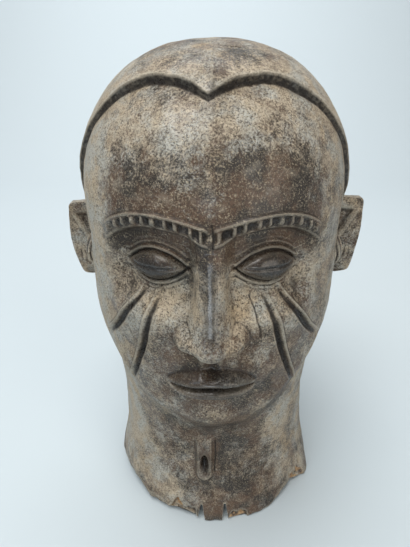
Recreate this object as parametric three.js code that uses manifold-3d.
// A crest mask of the Cross River kind: a head and neck carved from one block of wood, hollowed from below.
// Millimetres, +Z up. The face looks along -Y, +X is on the viewer's right, and the rim stands on z = 0.
import * as THREE from 'three';
import { mergeVertices } from 'three/addons/utils/BufferGeometryUtils.js';
import Module from 'manifold-3d';

const wasm = await Module();
wasm.setup();

// Driving sizes of the whole
const TOTAL_HEIGHT = 360;
const CAP_RAISE = 5.5;
const EQUATOR_Z = 252;
const DOME_HEIGHT = TOTAL_HEIGHT - CAP_RAISE - EQUATOR_Z;
const AXIS_Y = 4;
const DOME_SQUARENESS = 0.83;

// The bare form from the rim to the widest level: height, half width, depth to the front, depth to the back
const STATIONS = [
  [0, 91, 94.5, 89],
  [40, 83.5, 82, 84],
  [75, 81, 79, 84],
  [105, 81.5, 83, 87],
  [150, 86, 90, 95],
  [200, 92, 98, 107],
  [EQUATOR_Z, 95, 104, 113],
];

// The face: thirds from the hair's peak to the chin, and a head five eyes wide
const CHIN_Z = 105;
const HAIRLINE_Z = 333;
const FACE_THIRD = (HAIRLINE_Z - CHIN_Z) / 3;
const NOSE_BASE_Z = CHIN_Z + FACE_THIRD;
const BROW_Z = NOSE_BASE_Z + FACE_THIRD;
const EYE_Z = (CHIN_Z + TOTAL_HEIGHT) / 2;
const MOUTH_Z = NOSE_BASE_Z - FACE_THIRD / 3;
const HEAD_HALF = 95 + CAP_RAISE;
const EYE_WIDTH = (2 * HEAD_HALF) / 5;
const EYE_X = EYE_WIDTH;
const MOUTH_HALF = EYE_WIDTH * 0.75;
const FACE_RADIUS = 97;

// Jaw, sockets, nose, cheeks and chin. A soft swelling has its height, half width and half length.
const JAW_FRONT = 9;
const JAW_SIDE = 7;
const JAW_RISE = 62;
const JAW_SOFT_FRONT = 16;
const JAW_SOFT_SIDE = 24;
const SOCKET_DEPTH = 10.5;
const SOCKET_SIDE = 78;
const SOCKET_FLOOR_Z = EYE_Z - 36;
const MUZZLE = { height: 4, half: 46, length: 34, up: MOUTH_Z };
const CHIN = { height: 6, half: 30, length: 26, up: CHIN_Z + 12 };
const CHEEK = { height: 4, half: 36, length: 36, side: 50, up: NOSE_BASE_Z + 22 };
const WING = { height: 12, half: 12, length: 12, side: 13, up: NOSE_BASE_Z + 7 };
const NOSE_ROOT_Z = BROW_Z - 10;
const NOSE_TIP_Z = NOSE_BASE_Z + 9;
const NOSE_REACH = 21;
const NOSE_HALF_ROOT = 10;
const NOSE_HALF_TIP = 17;
const NOSE_LUMPS = [
  { side: -12, up: 7.5, sink: 7, size: [9.5, 11, 8.5] },
  { side: 12, up: 7.5, sink: 7, size: [9.5, 11, 8.5] },
  { side: 0, up: 9.5, sink: 8, size: [12, 10, 10] },
];

// The brow's arch, its raised band and the row of notches cut into the band
const BROW_TOP_SIDE = 38;
const BROW_RISE = 5;
const BROW_FALL = 10.5;
const BROW_FALL_OUTSIDE = 2.5;
const BAND_START = 2;
const BAND_END = 76;
const BAND_HALF = 5;
const BAND_PROUD = 3;
const NOTCH_COUNT = 9;
const NOTCH_FIRST = 9;
const NOTCH_LAST = 68;
const NOTCH_SIZE = [2.4, 14, 7];
const NOTCH_DEPTH = 1.2;

// Eyes and lips
const EYE_BALL = { half: 8.8, proud: 8.5 };
const LID = { half: 2.4, proud: 3.6, rise: 11.6, corner: 4.5 };
const UPPER_LIP = { rise: 6, half: 5.2, proud: 8.5, dip: 1.5 };
const LOWER_LIP = { drop: 8, half: 6, proud: 9.5, inset: 2 };
const LIP_EDGE = 1;
const SLIT_SIZE = [MOUTH_HALF * 0.72, 13, 2.2];
const SLIT_SINK = 3;
const SLIT_DROP = 0.8;

// The cheeks' scars, as place across the face and level at the start, the bend and the end
const CHEEK_SCARS = [
  { start: [50, EYE_Z - 15], bend: [63, EYE_Z - 42], end: [93, EYE_Z - 65] },
  { start: [39, EYE_Z - 17], bend: [47, EYE_Z - 60], end: [75, EYE_Z - 104] },
];
const SCAR_HALF = 3.2;
const SCAR_PROUD = 4.2;

// The tongue-shaped mark on the throat, and the upright cut in its middle
const MARK_SIDE = -7;
const MARK_HALF = 7.8;
const MARK_TOP = 92;
const MARK_END = 38;
const MARK_PROUD = 4;
const MARK_CUT_Z = 55;
const MARK_CUT_SIZE = [2.6, 5, 9];

// The hair cap's edge, as angle from the front and place on the meridian above the widest level
const HAIR_EDGE = [
  [0, 82],
  [0.14, 90],
  [0.32, 94.5],
  [0.64, 95],
  [1.0, 76],
  [1.3, 41],
  [1.55, 2],
  [1.85, -48],
  [2.3, -88],
  [Math.PI, -104],
];
const HAIR_STEP = 2.6;
const HAIR_PEAK_TURN = 0.025;

// Hollow and rim
const NECK_WALL = 13;
const FACE_WALL = 21;
const CROWN_WALL = 26;
const HOLLOW_OVERCUT = 12;
const HOLLOW_COLUMNS = 20;
const HOLLOW_ROWS = 12;
const TIE_HOLE_RADIUS = 2.3;
const TIE_HOLE_STRETCH = 1.6;
const TIE_HOLE_LENGTH = 50;
const TIE_HOLES = [
  { angle: -1.08, height: 23 },
  { angle: -0.88, height: 19 },
  { angle: 0.89, height: 14 },
  { angle: 1.06, height: 18 },
  { angle: 2.3, height: 16 },
  { angle: -2.3, height: 16 },
];
// The rim is broken at the front by two wedge-shaped slots, and worn away where the wear's places are named
const RIM_SLOTS = [
  { angle: -0.1, width: 14, height: 18 },
  { angle: 0.125, width: 12, height: 20 },
];
const RIM_WEAR = [
  { angle: -0.95, reach: 0.55, height: 9 },
  { angle: -0.3, reach: 0.28, height: 6 },
  { angle: 0.85, reach: 0.3, height: 6 },
];
// The rim flares out at one place on its right
const RIM_FLARE = { height: 5.5, half: 26, length: 26, side: 109, up: 4 };

// Ears: upright plates whose broad sides look forward, the left one carved a little lower than the right
const EARS = [
  { hand: -1, bottom: 181.5, top: 245 },
  { hand: 1, bottom: 184.5, top: 249 },
];
const EAR_ROOT_X = 87;
const EAR_OUT_X = 119.5;
const EAR_THICKNESS = 8;
const EAR_Y = 10;
const EAR_BEVEL = 1.5;
const EAR_HOLLOW_X = EAR_OUT_X - 20;
const EAR_HOLLOW_DROP = 25;
const EAR_HOLLOW_SIZE = [6.5, 4.5, 15];
const EAR_HOLLOW_LEAN = 0.4;
const SCROLL_PLACE = [89, -12, 217];
const SCROLL_SIZE = [9, 20, 13.5];

// Mesh density
const COLUMNS = 58;
const FRONT_DENSITY = 0.42;
const CAP_ROWS = 8;
const FOREHEAD_ROWS = 3;
const FACE_ROWS = 20;
const NECK_ROWS = 5;

const wood = new THREE.MeshStandardMaterial({ color: 0x7c756c, roughness: 0.62, metalness: 0 });

const mix = THREE.MathUtils.lerp;
const clamp = THREE.MathUtils.clamp;

function ease(from, to, value) {
  const t = clamp((value - from) / (to - from), 0, 1);
  return t * t * (3 - 2 * t);
}

function mound(across, along) {
  const q = across * across + along * along;
  return q < 1 ? (1 - q) ** 2 : 0;
}

// A smooth curve through rows of [position, value, ...], read at any position
function through(rows, position, column, endSlope) {
  const last = rows.length - 1;
  const slope = (i) => {
    if (i === last && endSlope !== undefined) return endSlope;
    const a = rows[Math.max(i - 1, 0)];
    const b = rows[Math.min(i + 1, last)];
    return (b[column] - a[column]) / (b[0] - a[0]);
  };
  let i = 0;
  while (i < last - 1 && position > rows[i + 1][0]) i += 1;
  const span = rows[i + 1][0] - rows[i][0];
  const t = clamp((position - rows[i][0]) / span, 0, 1);
  const t2 = t * t;
  const t3 = t2 * t;
  return (
    (2 * t3 - 3 * t2 + 1) * rows[i][column] +
    (t3 - 2 * t2 + t) * span * slope(i) +
    (3 * t2 - 2 * t3) * rows[i + 1][column] +
    (t3 - t2) * span * slope(i + 1)
  );
}

// The bare form at an angle from the front and a level. Past the widest level, the level runs on as an arc
// over the crown.
function bareForm(angle, level, wall = { side: 0, front: 0, crown: 0 }) {
  const z = clamp(level, 0, EQUATOR_Z);
  const width = through(STATIONS, z, 1, 0) - wall.side;
  const front = through(STATIONS, z, 2, 0) - wall.front;
  const back = through(STATIONS, z, 3, 0) - wall.side;
  const depth = Math.cos(angle) > 0 ? front : back;
  const domeHeight = DOME_HEIGHT - wall.crown;
  const climb = clamp((level - EQUATOR_Z) / DOME_HEIGHT, 0, Math.PI / 2);
  const reach = Math.cos(climb) ** DOME_SQUARENESS;
  const point = new THREE.Vector3(
    width * Math.sin(angle) * reach,
    AXIS_Y - depth * Math.cos(angle) * reach,
    Math.min(level, EQUATOR_Z) + domeHeight * Math.sin(climb),
  );
  const outward = new THREE.Vector3(
    (Math.sin(angle) * Math.cos(climb)) / width,
    (-Math.cos(angle) * Math.cos(climb)) / depth,
    Math.sin(climb) / domeHeight,
  ).normalize();
  return { point, outward };
}

// The cap's peak sits a little to one side
function hairEdge(angle) {
  return EQUATOR_Z + through(HAIR_EDGE, Math.abs(angle + HAIR_PEAK_TURN * Math.cos(angle)), 1, 0);
}

function browLine(side) {
  const q = (Math.abs(side) - BROW_TOP_SIDE) / BROW_TOP_SIDE;
  return BROW_Z + BROW_RISE - (BROW_FALL + BROW_FALL_OUTSIDE * q) * q * q;
}

function swelling({ height, half, length, side = 0, up }, across, level) {
  return height * mound((across - side) / half, (level - up) / length);
}

// How far the carved skin stands out of the bare form; side is measured round the face from the middle line
function relief(side, level) {
  const across = Math.abs(side);
  const turn = across / FACE_RADIUS;

  const jawLine = CHIN_Z + JAW_RISE * ease(0.25, 1.5, turn);
  const jawReach = mix(JAW_FRONT, JAW_SIDE, ease(0, 1.1, turn)) * (1 - ease(1.4, 1.85, turn));
  const jawSoftness = mix(JAW_SOFT_FRONT, JAW_SOFT_SIDE, ease(0.3, 1.4, turn));
  const aboveJaw = ease(jawLine - jawSoftness, jawLine + jawSoftness, level);
  const jaw = jawReach * aboveJaw * (1 - ease(MOUTH_Z, BROW_Z - 12, level));

  const underBrow = ease(-1, 7, browLine(side) - level);
  const aboveCheek = ease(SOCKET_FLOOR_Z, SOCKET_FLOOR_Z + 22, level);
  const besideNose = ease(5, 17, across) * (1 - ease(SOCKET_SIDE - 18, SOCKET_SIDE, across));
  const socket = -SOCKET_DEPTH * underBrow * aboveCheek * besideNose;

  const down = clamp((NOSE_ROOT_Z - level) / (NOSE_ROOT_Z - NOSE_TIP_Z), 0, 1);
  const bridge = NOSE_REACH * down ** 1.1 * ease(NOSE_BASE_Z - 3, NOSE_BASE_Z + 6, level);
  const bridgeHalf = mix(NOSE_HALF_ROOT, NOSE_HALF_TIP, down);
  const nose = (bridge * (1 + Math.cos(Math.PI * Math.min(across / bridgeHalf, 1)))) / 2;

  const swellings = [MUZZLE, CHIN, CHEEK].map((form) => swelling(form, across, level));
  const swollen = swellings.reduce((sum, height) => sum + height, swelling(RIM_FLARE, side, level));
  return jaw + socket + Math.max(nose, swelling(WING, across, level)) + swollen;
}

function skin(side, level) {
  const { point, outward } = bareForm(side / FACE_RADIUS, level);
  point.addScaledVector(outward, relief(side, level));
  return { point, outward };
}

function asSolid(geometry) {
  geometry.deleteAttribute('normal');
  geometry.deleteAttribute('uv');
  const merged = mergeVertices(geometry, 1e-4);
  return new wasm.Manifold(
    new wasm.Mesh({
      numProp: 3,
      vertProperties: new Float32Array(merged.attributes.position.array),
      triVerts: new Uint32Array(merged.index.array),
    }),
  );
}

// A ball whose points are moved: place gives each point from its column and row
function movedBall(columns, rows, place) {
  const ball = new THREE.SphereGeometry(1, columns, rows);
  const position = ball.attributes.position;
  for (let row = 0; row <= rows; row += 1) {
    for (let column = 0; column <= columns; column += 1) {
      const point = place(column % columns, row);
      position.setXYZ(row * (columns + 1) + column, point.x, point.y, point.z);
    }
  }
  return asSolid(ball);
}

// Column angles run from the back round the face and crowd together at the front
function columnAngle(column, columns, density) {
  const t = (2 * column) / columns - 1;
  return Math.PI * (density * t + (1 - density) * t ** 3);
}

// Levels of the rows below the hair's edge, from the forehead down to the rim
function faceLevels() {
  const top = BROW_Z + 12;
  const bottom = CHIN_Z - 8;
  const levels = [];
  for (let i = 0; i <= FACE_ROWS; i += 1) levels.push(mix(top, bottom, i / FACE_ROWS));
  for (let i = 1; i <= NECK_ROWS; i += 1) levels.push(mix(bottom, 0, i / NECK_ROWS));
  return levels;
}

function rimEdge(angle) {
  const worn = RIM_WEAR.map((wear) => wear.height * mound((angle - wear.angle) / wear.reach, 0));
  return worn.reduce((sum, height) => sum + height, 0);
}

function headSolid() {
  const levels = faceLevels();
  const edgeRow = CAP_ROWS + 1;
  const faceRow = edgeRow + FOREHEAD_ROWS + 1;
  const rows = faceRow + levels.length;
  const crown = EQUATOR_Z + (DOME_HEIGHT * Math.PI) / 2;
  return movedBall(COLUMNS, rows, (column, row) => {
    if (row === rows) return new THREE.Vector3(0, AXIS_Y, 0);
    const angle = row === 0 ? 0 : columnAngle(column, COLUMNS, FRONT_DENSITY);
    const edge = hairEdge(angle);
    const squeeze = Math.min(1, (edge - 12) / levels[0]);
    let level;
    let raise = 0;
    if (row < edgeRow) {
      level = mix(crown, edge + HAIR_STEP / 2, row / CAP_ROWS);
      raise = CAP_RAISE;
    } else if (row < faceRow) {
      level = mix(edge - HAIR_STEP / 2, levels[0] * squeeze, (row - edgeRow) / (FOREHEAD_ROWS + 1));
    } else {
      level = Math.max(levels[row - faceRow] * squeeze, rimEdge(angle));
    }
    const { point, outward } = bareForm(angle, level);
    return point.addScaledVector(outward, raise + relief(angle * FACE_RADIUS, level));
  });
}

// The inside follows the outside at the wall's thickness and runs out through the rim
function hollowSolid() {
  const rows = HOLLOW_ROWS;
  const crown = EQUATOR_Z + (DOME_HEIGHT * Math.PI) / 2;
  return movedBall(HOLLOW_COLUMNS, rows, (column, row) => {
    if (row === rows) return new THREE.Vector3(0, AXIS_Y, -HOLLOW_OVERCUT);
    const angle = row === 0 ? 0 : columnAngle(column, HOLLOW_COLUMNS, 1);
    const level = row === rows - 1 ? 0 : mix(crown, 0, row / (rows - 2));
    const front = mix(NECK_WALL, FACE_WALL, ease(40, 120, level));
    const wall = { side: NECK_WALL, front, crown: CROWN_WALL - CAP_RAISE };
    const { point } = bareForm(angle, level, wall);
    if (row === rows - 1) point.z = -HOLLOW_OVERCUT;
    return point;
  });
}

// A ridge lying on the skin along a path, tapering to both ends: path gives [side, level] at t from 0 to 1
function ridge(path, across, proud, rows, sides = 6) {
  const at = (t) => skin(...path(clamp(t, 0, 1)));
  return movedBall(sides, rows, (column, row) => {
    const t = row / rows;
    const { point, outward } = at(t);
    if (row === 0 || row === rows) return point;
    const along = at(t + 0.02).point.sub(at(t - 0.02).point);
    const sideways = new THREE.Vector3().crossVectors(outward, along).normalize();
    const turn = (2 * Math.PI * column) / sides;
    const taper = Math.sqrt(Math.sin(Math.PI * t));
    point.addScaledVector(outward, proud(t) * taper * Math.cos(turn));
    return point.addScaledVector(sideways, across(t) * taper * Math.sin(turn));
  });
}

function browBand(hand) {
  const path = (t) => {
    const side = hand * mix(BAND_START, BAND_END, t);
    return [side, browLine(side) + 1];
  };
  return ridge(path, () => BAND_HALF, () => BAND_PROUD, 13, 5);
}

function browNotches(hand) {
  const notches = [];
  for (let i = 0; i < NOTCH_COUNT; i += 1) {
    const side = hand * mix(NOTCH_FIRST, NOTCH_LAST, i / (NOTCH_COUNT - 1));
    const { point } = skin(side, browLine(side) + 1);
    const notch = new THREE.BoxGeometry(...NOTCH_SIZE);
    notch.translate(0, -NOTCH_SIZE[1] / 2 - NOTCH_DEPTH, 0);
    notch.rotateZ(side / FACE_RADIUS);
    notch.translate(point.x, point.y, point.z);
    notches.push(asSolid(notch));
  }
  return notches;
}

// Almond outline of the closed-looking eye: half height at t along its width
function almond(t) {
  const q = 2 * t - 1;
  return 1 - q * q;
}

function eyeParts(hand) {
  const boss = ridge(
    (t) => [hand * (EYE_X + (t - 0.5) * EYE_WIDTH), EYE_Z],
    (t) => EYE_BALL.half * Math.sqrt(almond(t)),
    () => EYE_BALL.proud,
    9,
    8,
  );
  const lids = [1, -1].map((up) =>
    ridge(
      (t) => [hand * (EYE_X + (t - 0.5) * (EYE_WIDTH + 2 * LID.corner)), EYE_Z + up * LID.rise * almond(t)],
      () => LID.half,
      () => LID.proud,
      9,
      5,
    ),
  );
  return [boss, ...lids];
}

function lips() {
  const lipHalf = ({ half }, t) => half * Math.sqrt(almond(t)) + LIP_EDGE;
  const upper = ridge(
    (t) => {
      const side = mix(-MOUTH_HALF, MOUTH_HALF, t);
      return [side, MOUTH_Z + UPPER_LIP.rise * Math.sqrt(almond(t)) - UPPER_LIP.dip * mound(side / 7, 0)];
    },
    (t) => lipHalf(UPPER_LIP, t),
    () => UPPER_LIP.proud,
    14,
  );
  const lowerEnd = MOUTH_HALF - LOWER_LIP.inset;
  const lower = ridge(
    (t) => [mix(-lowerEnd, lowerEnd, t), MOUTH_Z - LOWER_LIP.drop * Math.sqrt(almond(t))],
    (t) => lipHalf(LOWER_LIP, t),
    () => LOWER_LIP.proud,
    12,
  );
  return [upper, lower];
}

// The lips are parted along the middle of the mouth line
function mouthSlit() {
  const slit = new THREE.SphereGeometry(1, 10, 5);
  const { point } = skin(0, MOUTH_Z);
  slit.scale(...SLIT_SIZE);
  slit.translate(0, point.y - SLIT_SINK, MOUTH_Z - SLIT_DROP);
  return asSolid(slit);
}

// The nose's wings and tip are rounded lumps on the wedge of its bridge
function noseLumps() {
  return NOSE_LUMPS.map(({ side, up, sink, size }) => {
    const lump = new THREE.SphereGeometry(1, 8, 6);
    const { point } = skin(side, NOSE_BASE_Z + up);
    lump.scale(...size);
    lump.translate(point.x, point.y + sink, point.z);
    return asSolid(lump);
  });
}

// Two raised scars fan out over each cheek from under the eye
function cheekScars(hand) {
  return CHEEK_SCARS.map(({ start, bend, end }) => {
    const curve = new THREE.QuadraticBezierCurve(
      new THREE.Vector2(...start),
      new THREE.Vector2(...bend),
      new THREE.Vector2(...end),
    );
    const path = (t) => {
      const spot = curve.getPoint(t);
      return [hand * spot.x, spot.y];
    };
    return ridge(path, () => SCAR_HALF, () => SCAR_PROUD, 9, 5);
  });
}

// A tongue-shaped scar hangs down the throat from under the chin, lying on the skin
function throatMark() {
  const low = skin(MARK_SIDE, MARK_END + MARK_HALF).point;
  const high = skin(MARK_SIDE, MARK_TOP - MARK_HALF).point;
  const tongue = new THREE.CapsuleGeometry(MARK_HALF, MARK_TOP - MARK_END - 2 * MARK_HALF, 3, 8);
  tongue.rotateX(Math.PI / 2);
  tongue.scale(1, MARK_PROUD / MARK_HALF, 1);
  tongue.rotateX(Math.atan2(low.y - high.y, high.z - low.z));
  tongue.translate((low.x + high.x) / 2, (low.y + high.y) / 2, (low.z + high.z) / 2);
  return asSolid(tongue);
}

function throatCut() {
  const cut = new THREE.SphereGeometry(1, 6, 5);
  const { point } = skin(MARK_SIDE, MARK_CUT_Z);
  cut.scale(...MARK_CUT_SIZE);
  cut.translate(point.x, point.y - MARK_PROUD / 2, point.z);
  return asSolid(cut);
}

function earSolid({ hand, bottom, top }) {
  const outline = new THREE.Shape();
  outline.moveTo(EAR_ROOT_X, bottom + 6);
  outline.lineTo(EAR_ROOT_X + 8, bottom + 1);
  outline.quadraticCurveTo(EAR_OUT_X - 6, bottom, EAR_OUT_X - 3, bottom + 20);
  outline.quadraticCurveTo(EAR_OUT_X, bottom + 40, EAR_OUT_X - EAR_BEVEL, top - 6);
  outline.quadraticCurveTo(EAR_OUT_X - EAR_BEVEL, top, EAR_OUT_X - 7, top);
  outline.lineTo(EAR_ROOT_X, top);
  const plate = new THREE.ExtrudeGeometry(outline, {
    depth: EAR_THICKNESS - 2 * EAR_BEVEL,
    curveSegments: 3,
    bevelEnabled: true,
    bevelThickness: EAR_BEVEL,
    bevelSize: EAR_BEVEL,
    bevelOffset: -EAR_BEVEL,
    bevelSegments: 1,
  });
  plate.rotateX(Math.PI / 2);
  plate.translate(0, EAR_Y + EAR_THICKNESS - EAR_BEVEL, 0);
  const hollow = new THREE.SphereGeometry(1, 7, 5);
  hollow.scale(...EAR_HOLLOW_SIZE);
  hollow.rotateY(EAR_HOLLOW_LEAN);
  hollow.translate(EAR_HOLLOW_X, EAR_Y, top - EAR_HOLLOW_DROP);
  const scroll = new THREE.SphereGeometry(1, 7, 5);
  scroll.scale(...SCROLL_SIZE);
  scroll.translate(...SCROLL_PLACE);
  const ear = asSolid(plate).subtract(asSolid(hollow)).add(asSolid(scroll));
  return hand > 0 ? ear : ear.mirror([1, 0, 0]);
}

function tieHole({ angle, height }) {
  const drill = new THREE.CylinderGeometry(TIE_HOLE_RADIUS, TIE_HOLE_RADIUS, TIE_HOLE_LENGTH, 8);
  drill.scale(1, 1, TIE_HOLE_STRETCH);
  const { point } = bareForm(angle, height);
  drill.rotateZ(angle);
  drill.translate(point.x, point.y, point.z);
  return asSolid(drill);
}

function rimSlot({ angle, width, height }) {
  const cutter = new THREE.ConeGeometry(width, 2 * height, 4);
  cutter.rotateY(Math.PI / 4);
  cutter.rotateX(Math.PI / 2);
  cutter.scale(Math.SQRT1_2, 5, 1);
  const { point } = bareForm(angle, 0);
  cutter.rotateZ(angle);
  cutter.translate(point.x, point.y, 0);
  return asSolid(cutter);
}

function carvedHead() {
  let head = headSolid();
  const added = [...noseLumps(), ...lips(), throatMark()];
  const cut = [mouthSlit(), throatCut()];
  for (const hand of [-1, 1]) {
    added.push(browBand(hand), ...eyeParts(hand), ...cheekScars(hand));
    cut.push(...browNotches(hand));
  }
  added.push(...EARS.map(earSolid));
  for (const solid of added) head = head.add(solid);
  for (const solid of cut) head = head.subtract(solid);
  head = head.subtract(hollowSolid());
  for (const hole of TIE_HOLES) head = head.subtract(tieHole(hole));
  for (const slot of RIM_SLOTS) head = head.subtract(rimSlot(slot));
  const { vertProperties, triVerts } = head.getMesh();
  const geometry = new THREE.BufferGeometry();
  geometry.setAttribute('position', new THREE.BufferAttribute(vertProperties, 3));
  geometry.setIndex(new THREE.BufferAttribute(triVerts, 1));
  geometry.computeVertexNormals();
  return geometry;
}

const group = new THREE.Group();
const head = new THREE.Mesh(carvedHead(), wood);
head.name = 'carved_head';
group.add(head);

export default group;
